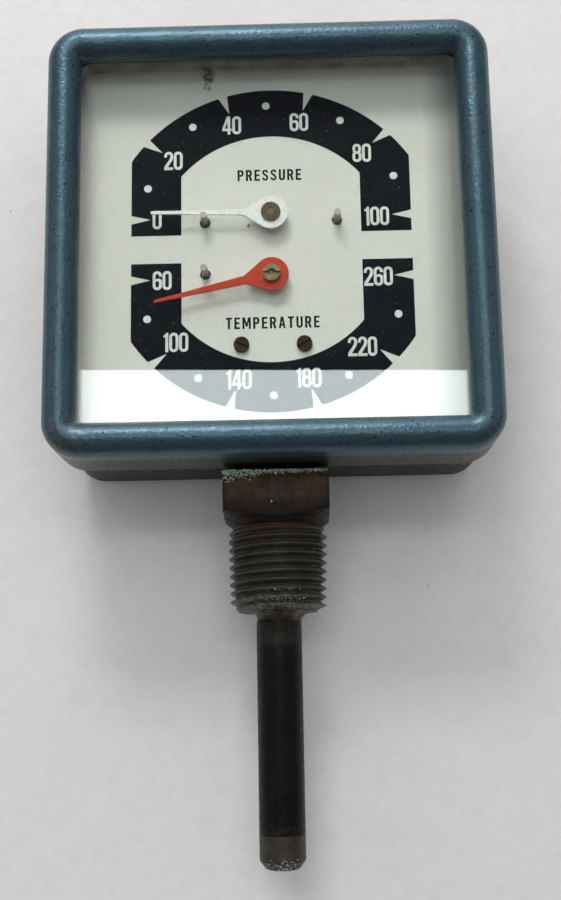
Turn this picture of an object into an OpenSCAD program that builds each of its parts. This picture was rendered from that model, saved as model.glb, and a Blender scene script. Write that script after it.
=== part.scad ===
/* [Case] */
// Width and height of the square bezel, outside
bezel_w = 93.2; // [80:0.1:120]
// Diameter of the bezel's half-round section
bezel_bead = 7.1; // [5:0.1:9]
// Radius of the bezel's corners, outside
bezel_corner = 7.6; // [5:0.1:12]
// Length of the bezel's skirt behind its bead
skirt_len = 14; // [6:0.5:18]
// Width and height of the case behind the bezel
case_w = 90.4; // [76:0.1:117]
// Depth of the case from its rim to its back
case_depth = 34.8; // [30:0.1:45]
// Thickness of the drawn sheet of the case
case_wall = 0.9; // [0.6:0.1:1.5]
// Radius of the drawn edge around the back of the case
back_round = 5; // [2:0.5:6]

/* [Face] */
// Distance from the pipe axis forward to the face of the dial
dial_y = 12.7; // [11:0.1:14]
// Height of the dial's centre above the shoulder of the thread
dial_z = 57.2; // [50:0.1:70]
// Half the width of the flat part of the dial
dial_flat = 37.6; // [34:0.1:39]
// Thickness of the dial
dial_t = 0.6; // [0.4:0.1:1]
// Thickness of the window glass
glass_t = 2.3; // [1.5:0.1:3]
// Distance between the two pointer axes
axis_gap = 13.6; // [12:0.1:16]
// Length of each pointer from its axis to its tip
pointer_len = 25.4; // [20:0.1:28]
// Degrees past its zero at which the pressure pointer rests
pressure_rest = 1; // [0:0.1:3]
// Degrees past the scale's start at which the temperature pointer rests
temperature_rest = 12.7; // [3:0.1:170]

/* [Connection] */
// Width across the flats of the square wrench block
wrench_w = 22.2; // [20:0.1:26]
// Height of the wrench block
wrench_h = 9.6; // [6:0.1:14]
// Threads to the inch
threads_per_inch = 14; // [14:1:14]
// Crest diameter of the taper thread at its large end
thread_d = 21.3; // [21:0.1:21.6]
// Length of the threaded shank, shoulder to end
thread_len = 19.05; // [16:0.05:24]
// Diameter of the bulb
bulb_d = 9.525; // [8:0.005:12]
// Length of bulb below the thread
bulb_len = 52; // [30:1:150]
// Length of the plug that closes the bulb
plug_len = 6.8; // [4:0.1:10]

/* [Movement] */
// Module of the gear teeth
gear_m = 0.4; // [0.4:0.1:0.4]
// Teeth on each pointer pinion
pinion_teeth = 10; // [10:1:10]
// Teeth that a full sector wheel would have
sector_teeth = 74; // [74:1:74]
// Radius of the middle of each Bourdon tube
tube_r = 34; // [33:0.5:35]

/* [Hidden] */
$fn = 64;

// Depths are heights above the pipe axis, towards the viewer.
case_half = case_w / 2;
case_corner = 6.4;
rim = 17.5;
glass_back = rim + dial_t + 0.5;
glass_front = glass_back + glass_t;
bead_r = bezel_bead / 2;
bezel_half = bezel_w / 2;
bead_axis = glass_front + 1.1;
back = rim - case_depth;
seat_half = case_half - 0.3;
seat_corner = case_corner - 0.6;
fold = 3;
pan_half = dial_flat + fold;
dial_back = dial_y - dial_t;

p_axis = [0, axis_gap / 2];
t_axis = [0, -axis_gap / 2];
pointer_z = 15.2;
pointer_t = 0.5;
pin_x = 14.1;
pin_y = 5.8;
pin_r = 0.72;
pin_top = 17.4;
dial_screw_at = [6.6, -21.5];

front_plate = [9.2, 10.4];
back_plate = [0.4, 1.6];
plate_half = 17;
plate_top = 12.6;
plate_bottom = -25.9;
pillars_at = [[14.5, 9.5], [-14.5, 9.5], [10, -23.9], [-10, -23.9]];
fixing_x = 4.5;
fixing_y = -19.8;
arbor_r = 0.75;
sector_arbor_r = 0.9;
run = 0.05;
tight = 0.02;
stud_r = 0.9;
back_screw_r = 1.5;
cutout_gap = 0.3;

pinion_r = gear_m * pinion_teeth / 2;
sector_r = gear_m * sector_teeth / 2;
tooth_pitch = PI * gear_m;
mesh_dir = 135.5;
p_pivot = p_axis - (pinion_r + sector_r) * [cos(mesh_dir), sin(mesh_dir)];
t_pivot = t_axis - (pinion_r + sector_r) * [-cos(mesh_dir), sin(mesh_dir)];
tail_len = 9;
tail_dir = -30;
swing = 24.3;
p_tail = p_pivot + tail_len * [cos(tail_dir), sin(tail_dir)];
t_tail = t_pivot + tail_len * [-cos(tail_dir), sin(tail_dir)];
p_lug = [p_tail[0] + 2.2, p_tail[1] + 10];
t_lug = [t_tail[0] - 2.2, t_tail[1] + 10];
p_gear_z = 6.9;
t_gear_z = 3.7;
gear_t = 1.3;
link_pin_r = 0.5;
open_eye_r = 0.85;

tube_depth = 7;
tube_thick = 3.2;
tube_wall = 0.4;
p_tube_z = -5.5;
t_tube_z = 5;
p_tip_angle = 4;
t_tip_angle = 193;
root_angle = 7.7;
cap_angle = 7;

pitch = 25.4 / threads_per_inch;
thread_depth = 1.1;
runout = 1.5;
taper = 1 / 32;
body_x = 8.5;
body_front = 9;
neck_front = 7.6;
body_back = -10.5;
body_top = -26.2;
floor_y = -case_half + case_wall + 0.4;
bulb_r = bulb_d / 2;
bulb_seat = 10;
spigot_r = bulb_r - 0.3;
braze_h = 2;
bulb_end = -thread_len - bulb_len;
port_y = 6.9;
port_r = 1.2;

// Stands a drawing of the face upright: x right, y up from the dial's centre, z to the viewer.
module face_on() {
    translate([0, 0, dial_z]) rotate([90, 0, 0]) children();
}

// A slab of a flat outline between two depths.
module slab(z0, z1) {
    translate([0, 0, z0]) linear_extrude(z1 - z0) children();
}

module rounded_square(half, corner) {
    for (sx = [-1, 1], sy = [-1, 1])
        translate([sx, sy] * (half - corner)) circle(corner);
    square([2 * half, 2 * (half - corner)], center = true);
    square([2 * (half - corner), 2 * half], center = true);
}

// Carries a section around a rounded square. The section's x counts from the corners' centres.
module around_square(half, corner) {
    for (k = [0 : 3]) rotate([0, 0, 90 * k]) {
        translate([half - corner, 0, 0])
            rotate([90, 0, 0]) linear_extrude(2 * (half - corner), center = true) children();
        translate([half - corner, half - corner, 0]) rotate_extrude(angle = 90) children();
    }
}

module ring(outer, inner) {
    difference() {
        circle(outer);
        circle(inner);
    }
}

module bar(a, b, w) {
    d = b - a;
    translate(a) rotate(atan2(d[1], d[0]))
        translate([0, -w / 2]) square([norm(d), w]);
}

// ---------- case, bezel and face ----------

function drawn_edge(r) = [for (a = [0 : 15 : 90]) r * [sin(a), 1 - cos(a)]];

module case_block(half, corner, z0, z1, edge) {
    hull() for (sx = [-1, 1], sy = [-1, 1])
        translate([sx * (half - corner), sy * (half - corner), 0])
            rotate_extrude($fn = 48) polygon(concat(
                [[0, z0]],
                [for (p = drawn_edge(edge)) [corner - edge + p[0], z0 + p[1]]],
                [[corner, z1], [0, z1]]));
}

module case() {
    color("dimgray") face_on() difference() {
        case_block(case_half, case_corner, back, rim, back_round);
        case_block(case_half - case_wall, case_corner - case_wall, back + case_wall, rim + 1,
            back_round - case_wall);
        slab(body_back - cutout_gap, neck_front + cutout_gap)
            translate([-body_x - cutout_gap, -case_half - 1])
                square([2 * (body_x + cutout_gap), 5]);
        for (sx = [-1, 1]) slab(back - 1, back + 2) translate(back_screw(sx)) circle(back_screw_r + 0.6);
    }
}

module bezel_section() {
    c = bezel_corner;
    seat = c - (bezel_half - case_half - 0.1);
    difference() {
        union() {
            translate([c - bead_r, bead_axis]) circle(bead_r);
            translate([seat, bead_axis - skirt_len]) square([c - seat, skirt_len]);
        }
        translate([0, rim - 1]) square([seat, glass_front - rim + 1]);
    }
}

module bezel() {
    color("steelblue") face_on() around_square(bezel_half, bezel_corner) bezel_section();
}

module window_glass() {
    color("lightcyan", 0.4) face_on() slab(glass_back, glass_front)
        rounded_square(seat_half, seat_corner);
}

module glass_gasket() {
    color("black") face_on() slab(glass_back - 0.5, glass_back) difference() {
        rounded_square(seat_half, seat_corner);
        rounded_square(pan_half + 1.4, 2.5);
    }
}

// The dial's edge: a quarter bend up from the flat and a straight wall to the rim.
module pan_section() {
    translate([0, dial_y + fold]) intersection() {
        ring(fold + dial_t, fold);
        translate([0, -2 * fold]) square(2 * fold);
    }
    translate([fold, dial_y + fold]) square([dial_t, rim - dial_y - fold + dial_t]);
}

module dial() {
    color("ivory") face_on() difference() {
        union() {
            slab(dial_back, dial_y) square(2 * dial_flat, center = true);
            around_square(pan_half, fold) pan_section();
            slab(rim, rim + dial_t) difference() {
                rounded_square(seat_half, seat_corner);
                rounded_square(pan_half + dial_t / 2, fold + dial_t / 2);
            }
        }
        slab(dial_back - 1, dial_y + 1) {
            for (at = [p_axis, t_axis]) translate(at) circle(1.6);
            for (at = pin_places()) translate(at) circle(1.15);
            for (sx = [-1, 1]) translate([sx * dial_screw_at[0], dial_screw_at[1]]) circle(1);
        }
    }
}

function pin_places() = [[-pin_x, pin_y], [pin_x, pin_y], [-pin_x, -pin_y]];

module stop_pin(at) {
    slab(front_plate[0], pin_top) translate(at) circle(pin_r);
}

module pressure_stop_pins() {
    color("silver") face_on() for (k = [0, 1]) stop_pin(pin_places()[k]);
}

module temperature_stop_pin() {
    color("silver") face_on() stop_pin(pin_places()[2]);
}

module slotted_head(r, z0, h, slot, angle) {
    difference() {
        slab(z0, z0 + h) circle(r);
        slab(z0 + h / 2, z0 + h + 1) rotate(angle) square([3 * r, slot], center = true);
    }
}

module dial_screws() {
    color("saddlebrown") face_on() for (sx = [-1, 1])
        translate([sx * dial_screw_at[0], dial_screw_at[1], 0]) {
            slotted_head(1.65, dial_y, 0.9, 0.45, 30 * sx);
            slab(front_plate[1] + 0.2, dial_y) circle(0.85);
        }
}

module dial_posts() {
    color("goldenrod") face_on() for (sx = [-1, 1])
        translate([sx * dial_screw_at[0], dial_screw_at[1], 0])
            slab(front_plate[1], dial_back) ring(2, 0.9);
}

// ---------- socket, thread and bulb ----------

function thread_crest(z) = thread_d / 2 - taper * z;

// The thread is drawn as closed grooves of the true pitch, depth and taper.
function thread_turns() = floor((thread_len - runout - 1.6) / pitch);

function thread_outline() = concat(
    [[0, wrench_h / 2], [wrench_w / 2 - 0.1, wrench_h / 2], [wrench_w / 2 - 0.1, 0]],
    [for (k = [0 : thread_turns() - 1], s = [[0, 1], [0.12, 1], [0.5, 0], [0.62, 0]])
        let (z = runout + pitch * (k + s[0]))
        [thread_crest(z) - thread_depth * s[1], -z]],
    [[thread_crest(thread_len) - thread_depth, -runout - pitch * thread_turns()],
        [thread_crest(thread_len) - thread_depth, -thread_len + 0.7],
        [thread_crest(thread_len) - thread_depth - 0.7, -thread_len],
        [0, -thread_len]]);

module wrench_block() {
    intersection() {
        translate([-wrench_w / 2, -wrench_w / 2, 0]) cube([wrench_w, wrench_w, wrench_h]);
        // Chamfers the corners below, down to a circle that touches the flats.
        cylinder(h = wrench_h, r1 = wrench_w / 2, r2 = wrench_w / 2 + 30);
    }
}

module socket() {
    color("darkolivegreen") difference() {
        union() {
            wrench_block();
            rotate_extrude() polygon(thread_outline());
            face_on() slab(body_back, neck_front)
                translate([-body_x, wrench_h - dial_z - 1])
                    square([2 * body_x, body_top + dial_z - wrench_h + 1]);
            face_on() slab(body_back, body_front)
                translate([-body_x, floor_y]) square([2 * body_x, body_top - floor_y]);
            face_on() slab(-3, back_plate[0])
                translate([-body_x, body_top - 1]) square([2 * body_x, 10]);
            face_on() slab(back + case_wall, body_back + 1)
                translate([-body_x, body_top - 8]) square([2 * body_x, 8]);
        }
        translate([0, 0, -thread_len - 1]) cylinder(h = bulb_seat + 1, r = spigot_r + 0.03);
        translate([0, 0, -thread_len]) cylinder(h = thread_len + 26, r = 0.9);
        translate([0, port_y, -thread_len - 1]) cylinder(h = thread_len + 25, r = port_r);
        translate([-body_x - 1, port_y, 22]) rotate([0, 90, 0]) cylinder(h = body_x + 1, r = port_r);
        translate([0, -t_tube_z, 24]) rotate([0, 90, 0]) cylinder(h = body_x + 1, r = 0.8);
        translate([0, 0, 24]) rotate([90, 0, 0]) cylinder(h = t_tube_z, r = 0.8);
        face_on() tube_arc(p_tube_z, 180, 270 - root_angle + 0.2, run);
        face_on() tube_arc(t_tube_z, 270 + root_angle - 0.2, 360, run);
        face_on() for (sx = [-1, 1]) {
            slab(back, body_back + 1.5) translate(back_screw(sx)) circle(back_screw_r + run);
            slab(-4, back_plate[0] + 1) translate([sx * fixing_x, fixing_y]) circle(stud_r + run);
        }
    }
}

function back_screw(sx) = [sx * 5, body_top - 4];

module case_back_screws() {
    color("silver") face_on() for (sx = [-1, 1])
        translate(concat(back_screw(sx), [0])) {
            slab(back, body_back + 1) circle(back_screw_r);
            mirror([0, 0, 1]) slotted_head(3.2, -back, 1.5, 0.8, 70 + 25 * sx);
        }
}

module braze_collar() {
    color("saddlebrown") translate([0, 0, -thread_len]) rotate_extrude()
        polygon([
            [spigot_r, 0], [bulb_r + 1.3, 0], [bulb_r + 0.95, -0.5], [bulb_r + 0.5, -1.3],
            [bulb_r, -braze_h], [spigot_r, -braze_h]
        ]);
}

module bulb() {
    color("black") translate([0, 0, bulb_end + plug_len]) difference() {
        union() {
            cylinder(h = bulb_len - plug_len - braze_h, r = bulb_r);
            cylinder(h = bulb_len - plug_len + bulb_seat, r = spigot_r);
        }
        translate([0, 0, -1])
            cylinder(h = bulb_len - plug_len + bulb_seat - 1, r = bulb_r - 0.8);
        cylinder(h = bulb_len + bulb_seat, r = 0.7);
    }
}

module bulb_plug() {
    color("saddlebrown") translate([0, 0, bulb_end]) rotate_extrude()
        polygon([
            [0, 0], [bulb_r - 1.9, 0], [bulb_r - 1.3, 0.25], [bulb_r - 0.1, 1.7],
            [bulb_r - 0.02, 2.1], [bulb_r, plug_len], [bulb_r - 0.85, plug_len],
            [bulb_r - 0.85, plug_len + 4], [0, plug_len + 4]
        ]);
}

module capillary() {
    color("peru") translate([0, 0, -thread_len + bulb_seat - 3])
        difference() {
            cylinder(h = 34, r = 0.6);
            translate([0, 0, -1]) cylinder(h = 36, r = 0.25);
        }
}

// ---------- plates of the movement ----------

module plate_outline() {
    translate([-plate_half, plate_bottom])
        square([2 * plate_half, plate_top - plate_bottom]);
}

module arbor_bores() {
    for (at = [p_axis, t_axis]) translate(at) circle(arbor_r + run);
    for (at = [p_pivot, t_pivot]) translate(at) circle(sector_arbor_r + run);
}

module movement_front_plate() {
    color("gold") face_on() slab(front_plate[0], front_plate[1]) difference() {
        plate_outline();
        arbor_bores();
        for (at = pillars_at) translate(at) circle(stud_r + run);
        for (at = pin_places()) translate(at) circle(pin_r + tight);
    }
}

module movement_back_plate() {
    color("gold") face_on() slab(back_plate[0], back_plate[1]) difference() {
        plate_outline();
        arbor_bores();
        for (at = pillars_at) translate(at) circle(stud_r + run);
        for (sx = [-1, 1]) translate([sx * fixing_x, fixing_y]) circle(stud_r + 2 * run);
    }
}

module movement_pillars() {
    color("goldenrod") face_on() for (at = pillars_at) translate(at) {
        slab(back_plate[1], front_plate[0]) circle(1.7);
        slab(back_plate[0] - 0.9, front_plate[1] + 1.1) circle(stud_r);
    }
}

module movement_nuts() {
    color("silver") face_on() for (at = pillars_at) translate(at)
        slab(front_plate[1], front_plate[1] + 0.9) difference() {
            circle(1.7, $fn = 6);
            circle(stud_r + run);
        }
}

module movement_screws() {
    color("silver") face_on() for (sx = [-1, 1])
        translate([sx * fixing_x, fixing_y, 0]) {
            slotted_head(1.6, back_plate[1], 0.9, 0.4, 40 * sx);
            slab(-2.6, back_plate[1]) circle(stud_r);
        }
}

// ---------- gears, links and pointers ----------

// One tooth's corners about the angle a, as [radius, angle] pairs; side 1 is an outside tooth.
function tooth(r, a, root, tip) =
    let (w = tooth_pitch / r * 180 / PI)
    [[r - root, a - 0.25 * w], [r, a - 0.2 * w], [r + tip, a - 0.09 * w],
        [r + tip, a + 0.09 * w], [r, a + 0.2 * w], [r - root, a + 0.25 * w]];

function polar(p) = p[0] * [cos(p[1]), sin(p[1])];

module pinion_outline(phase) {
    polygon([for (k = [0 : pinion_teeth - 1], p = tooth(pinion_r, phase + 360 / pinion_teeth * k,
        1.15 * gear_m, 0.75 * gear_m)) polar(p)]);
}

// A toothed sector about the origin, in mesh at angle dir, with its rim reaching from
// the angle dir - before to dir + after.
module sector_outline(dir, before, after) {
    step = 360 / sector_teeth;
    root = sector_r - 1.15 * gear_m;
    inner = root - 1.6;
    lo = -ceil(before / step);
    hi = ceil(after / step);
    polygon(concat(
        [for (k = [lo : hi], p = tooth(sector_r, dir + step * (k + 0.5), 1.15 * gear_m,
            0.75 * gear_m)) polar(p)],
        [for (k = [hi + 1 : -1 : lo]) polar([inner, dir + step * k])]));
    circle(2.6);
    for (a = [dir + step * (lo + 1), dir + step * hi])
        bar([0, 0], polar([inner + 0.5, a]), 1.5);
}

module arbor(at, z0, z1, r) {
    slab(z0, z1) translate(at) circle(r);
}

module pointer_pinion(at, dir, gear_z, top, collet_z) {
    arbor(at, back_plate[0] - 0.4, top, arbor_r);
    slab(gear_z, gear_z + gear_t) translate(at) pinion_outline(dir);
    slab(collet_z, collet_z + 0.5) translate(at) circle(1.2);
}

module sector_gear(at, dir, before, after, tail, gear_z) {
    difference() {
        union() {
            arbor(at, back_plate[0] - 0.4, front_plate[1] + 0.4, sector_arbor_r);
            slab(gear_z, gear_z + gear_t) {
                translate(at) sector_outline(dir, before, after);
                bar(at, tail, 2.2);
                translate(tail) circle(1.3);
            }
        }
        slab(gear_z - 1, gear_z + gear_t + 1) translate(tail) circle(link_pin_r + run);
    }
}

// The link's eye on the tube's lug is open wide, because the linkage is a closed loop.
module link(a, b, z) {
    slab(z, z + 0.8) difference() {
        union() {
            translate(a) circle(1.2);
            translate(b) circle(1.5);
            bar(a, b, 1.5);
        }
        translate(a) circle(link_pin_r + tight);
        translate(b) circle(open_eye_r);
    }
}

module link_pin(at, z0, z1) {
    slab(z0, z1) translate(at) circle(link_pin_r);
    slab(z1, z1 + 0.4) translate(at) circle(0.9);
}

function spiral(r0, r1, turns, side) = [for (a = [0 : 12 : 360 * turns])
    (r0 + (r1 - r0) * a / (360 * turns) + side) * [cos(a), sin(a)]];

function backwards(list) = [for (k = [len(list) - 1 : -1 : 0]) list[k]];

module hairspring(at, z) {
    slab(z, z + 0.5) translate(at)
        polygon(concat(spiral(1.6, 5, 4, 0.09), backwards(spiral(1.6, 5, 4, -0.09))));
}

// A hub with a long thin blade along -x.
module pointer_outline(hub, blade, tip) {
    difference() {
        union() {
            circle(hub);
            polygon([
                [-hub * 0.45, hub * 0.89], [-hub * 1.6, blade * 0.75], [-pointer_len, tip / 2],
                [-pointer_len, -tip / 2], [-hub * 1.6, -blade * 0.75], [-hub * 0.45, -hub * 0.89]
            ]);
        }
        circle(arbor_r + tight);
    }
}

module pressure_pointer() {
    color("white") face_on() slab(pointer_z, pointer_z + pointer_t) translate(p_axis)
        rotate(-pressure_rest) pointer_outline(3.6, 0.8, 0.55);
}

module temperature_pointer() {
    color("firebrick") face_on() slab(pointer_z - 0.2, pointer_z - 0.2 + pointer_t)
        translate(t_axis) rotate(temperature_rest) pointer_outline(3.6, 1.2, 0.5);
}

module pressure_pointer_bush() {
    z = pointer_z + pointer_t;
    color("saddlebrown") face_on() translate(p_axis) {
        slab(z, z + 0.5) ring(2.05, arbor_r + tight);
        slab(pointer_z - 1.3, pointer_z) ring(1.3, arbor_r + tight);
    }
}

module temperature_adjusting_screw() {
    z = pointer_z - 0.2 + pointer_t + 0.05;
    color("goldenrod") face_on() translate(t_axis) difference() {
        slotted_head(1.85, z, 0.8, 0.5, 0);
        slab(z - 1, z + 2) circle(arbor_r + run);
    }
}

module pressure_pinion() {
    color("gold") face_on()
        pointer_pinion(p_axis, mesh_dir + 180, p_gear_z, pointer_z + pointer_t + 0.4, 8.5);
}

module temperature_pinion() {
    color("gold") face_on()
        pointer_pinion(t_axis, -mesh_dir, t_gear_z, pointer_z + pointer_t + 0.1, 2.6);
}

module pressure_hairspring() {
    color("peru") face_on() hairspring(p_axis, 8.5);
}

module temperature_hairspring() {
    color("peru") face_on() hairspring(t_axis, 2.6);
}

module pressure_sector() {
    color("gold") face_on()
        sector_gear(p_pivot, mesh_dir, swing + 3, 3, p_tail, p_gear_z);
}

module temperature_sector() {
    color("gold") face_on()
        sector_gear(t_pivot, 180 - mesh_dir, 5, swing + 3, t_tail, t_gear_z);
}

module pressure_link() {
    color("silver") face_on() link(p_tail, p_lug, 5.7);
}

module temperature_link() {
    color("silver") face_on() link(t_tail, t_lug, 5.4);
}

module pressure_link_pin() {
    color("silver") face_on() link_pin(p_tail, 5.7, p_gear_z + gear_t + 0.1);
}

module temperature_link_pin() {
    color("silver") face_on() mirror([0, 0, 1]) link_pin(t_tail, -6.2, -t_gear_z + 0.1);
}

// ---------- Bourdon tubes ----------

module tube_section(grow) {
    straight = (tube_depth - tube_thick) / 2;
    square([tube_thick + 2 * grow, 2 * straight], center = true);
    for (s = [-1, 1]) translate([0, s * straight]) circle(tube_thick / 2 + grow);
}

module tube_arc(z, from, to, grow) {
    translate([0, 0, z]) rotate([0, 0, from]) rotate_extrude(angle = to - from)
        translate([tube_r, 0]) tube_section(grow);
}

module bourdon_tube(z, from, to) {
    difference() {
        tube_arc(z, from, to, 0);
        tube_arc(z, from - 1, to + 1, -tube_wall);
    }
}

// The cap on a tube's free end reaches from the angle a towards side, 1 or -1.
module tip_cap(z, a, side) {
    slab(z - tube_depth / 2 - 0.6, z + tube_depth / 2 + 0.6)
        polygon([for (p = [[-2.2, 0.4], [2.2, 0.4], [2.2, cap_angle], [-2.2, cap_angle]])
            polar([tube_r + p[0], a + side * p[1]])]);
}

module pressure_tube() {
    color("peru") face_on() bourdon_tube(p_tube_z, p_tip_angle, 270 - root_angle);
}

module temperature_tube() {
    color("peru") face_on() bourdon_tube(t_tube_z, -90 + root_angle, t_tip_angle);
}

module pressure_tube_tip() {
    color("goldenrod") face_on() {
        tip_cap(p_tube_z, p_tip_angle, -1);
        slab(p_tube_z - 0.75, p_tube_z + 0.75) {
            bar(polar([tube_r - 1, p_tip_angle - cap_angle / 2]), p_lug, 2.6);
            translate(p_lug) circle(1.5);
        }
        slab(p_tube_z, 5.3) translate(p_lug) circle(1.2);
        slab(5.3, 7) translate(p_lug) circle(link_pin_r);
    }
}

module temperature_tube_tip() {
    color("goldenrod") face_on() {
        tip_cap(t_tube_z, t_tip_angle, 1);
        slab(t_gear_z, t_gear_z + gear_t) {
            bar(polar([tube_r - 1, t_tip_angle + cap_angle / 2]), t_lug, 2.6);
            translate(t_lug) circle(1.5);
        }
        slab(t_gear_z + gear_t, 6.8) translate(t_lug) circle(link_pin_r);
    }
}

case();
bezel();
window_glass();
glass_gasket();
dial();
dial_screws();
dial_posts();
pressure_stop_pins();
temperature_stop_pin();
socket();
case_back_screws();
braze_collar();
bulb();
bulb_plug();
capillary();
movement_front_plate();
movement_back_plate();
movement_pillars();
movement_nuts();
movement_screws();
pressure_pointer();
pressure_pointer_bush();
pressure_pinion();
pressure_hairspring();
pressure_sector();
pressure_link();
pressure_link_pin();
pressure_tube();
pressure_tube_tip();
temperature_pointer();
temperature_adjusting_screw();
temperature_pinion();
temperature_hairspring();
temperature_sector();
temperature_link();
temperature_link_pin();
temperature_tube();
temperature_tube_tip();
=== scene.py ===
"""A square boiler gauge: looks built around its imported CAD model."""
import math
import random

import bpy
from mathutils import Matrix, Vector, noise
from mathutils.geometry import tessellate_polygon


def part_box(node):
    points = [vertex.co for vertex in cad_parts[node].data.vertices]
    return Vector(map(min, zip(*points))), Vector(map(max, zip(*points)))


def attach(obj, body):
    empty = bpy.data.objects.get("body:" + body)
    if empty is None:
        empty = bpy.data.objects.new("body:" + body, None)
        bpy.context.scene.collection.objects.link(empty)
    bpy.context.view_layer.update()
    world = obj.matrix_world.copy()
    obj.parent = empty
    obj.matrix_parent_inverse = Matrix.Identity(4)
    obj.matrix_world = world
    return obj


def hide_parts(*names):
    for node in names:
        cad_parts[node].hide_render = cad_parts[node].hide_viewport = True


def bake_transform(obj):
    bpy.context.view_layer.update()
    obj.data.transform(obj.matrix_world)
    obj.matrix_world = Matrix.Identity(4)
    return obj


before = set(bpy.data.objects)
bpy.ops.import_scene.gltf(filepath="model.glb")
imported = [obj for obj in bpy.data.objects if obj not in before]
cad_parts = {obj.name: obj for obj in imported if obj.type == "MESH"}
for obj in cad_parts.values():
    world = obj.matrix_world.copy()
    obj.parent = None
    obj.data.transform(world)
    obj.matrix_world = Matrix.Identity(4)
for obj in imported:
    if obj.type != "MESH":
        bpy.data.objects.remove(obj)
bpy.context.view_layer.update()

MM = 0.001
TAU = 2 * math.pi

# ---------- places, in millimetres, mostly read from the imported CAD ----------

low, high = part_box("dial")
DIAL_Z = (low.z + high.z) / 2 / MM
DIAL_SHEET = 0.6                        # thickness of the dial
DIAL_FACE = -high.y / MM + DIAL_SHEET   # depth of the dial's face, towards the viewer
low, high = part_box("window_glass")
GLASS_FRONT = -low.y / MM
low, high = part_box("bulb_plug")
TIP_Z = low.z / MM
low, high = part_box("bezel")
BEZEL_FRAME = 7.1                       # width of the bezel's frame round the glass
OPENING = high.x / MM - BEZEL_FRAME     # half the width of the glass that shows
low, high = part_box("case_back_screws")
REST_Y = high.y / MM
low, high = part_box("braze_collar")
THREAD_END = high.z / MM
AXIS_W = 6.8                            # height of the upper pointer axis over the dial's centre


def face(x, w, depth):
    """A point of the face, right and up from the dial's centre, as metres in the row frame."""
    return Vector((x, -depth, w + DIAL_Z)) * MM


# ---------- camera ----------

CAM_AT = Vector((5.47, -266.45, -37.92))
CAM_YAW, CAM_RISE, CAM_ROLL = 0.017, 0.1992, 0.0173
SENSOR, LENS = 36.0, 80.4468

camera_data = bpy.data.cameras.new("camera")
camera_data.sensor_fit = "HORIZONTAL"
camera_data.sensor_width = SENSOR
camera_data.lens = LENS
camera_data.clip_start, camera_data.clip_end = 0.01, 20
camera = bpy.data.objects.new("camera", camera_data)
bpy.context.scene.collection.objects.link(camera)
cam_turn = Matrix.Rotation(CAM_YAW, 3, "Z") @ Matrix.Rotation(CAM_RISE, 3, "X")
cam_turn = cam_turn @ Matrix.Rotation(CAM_ROLL, 3, "Y")
right, forward, up = (cam_turn.col[i].copy() for i in range(3))
camera.matrix_world = Matrix.Translation(CAM_AT * MM) @ Matrix((right, up, -forward)).transposed().to_4x4()
bpy.context.scene.camera = camera


# ---------- materials ----------

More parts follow.
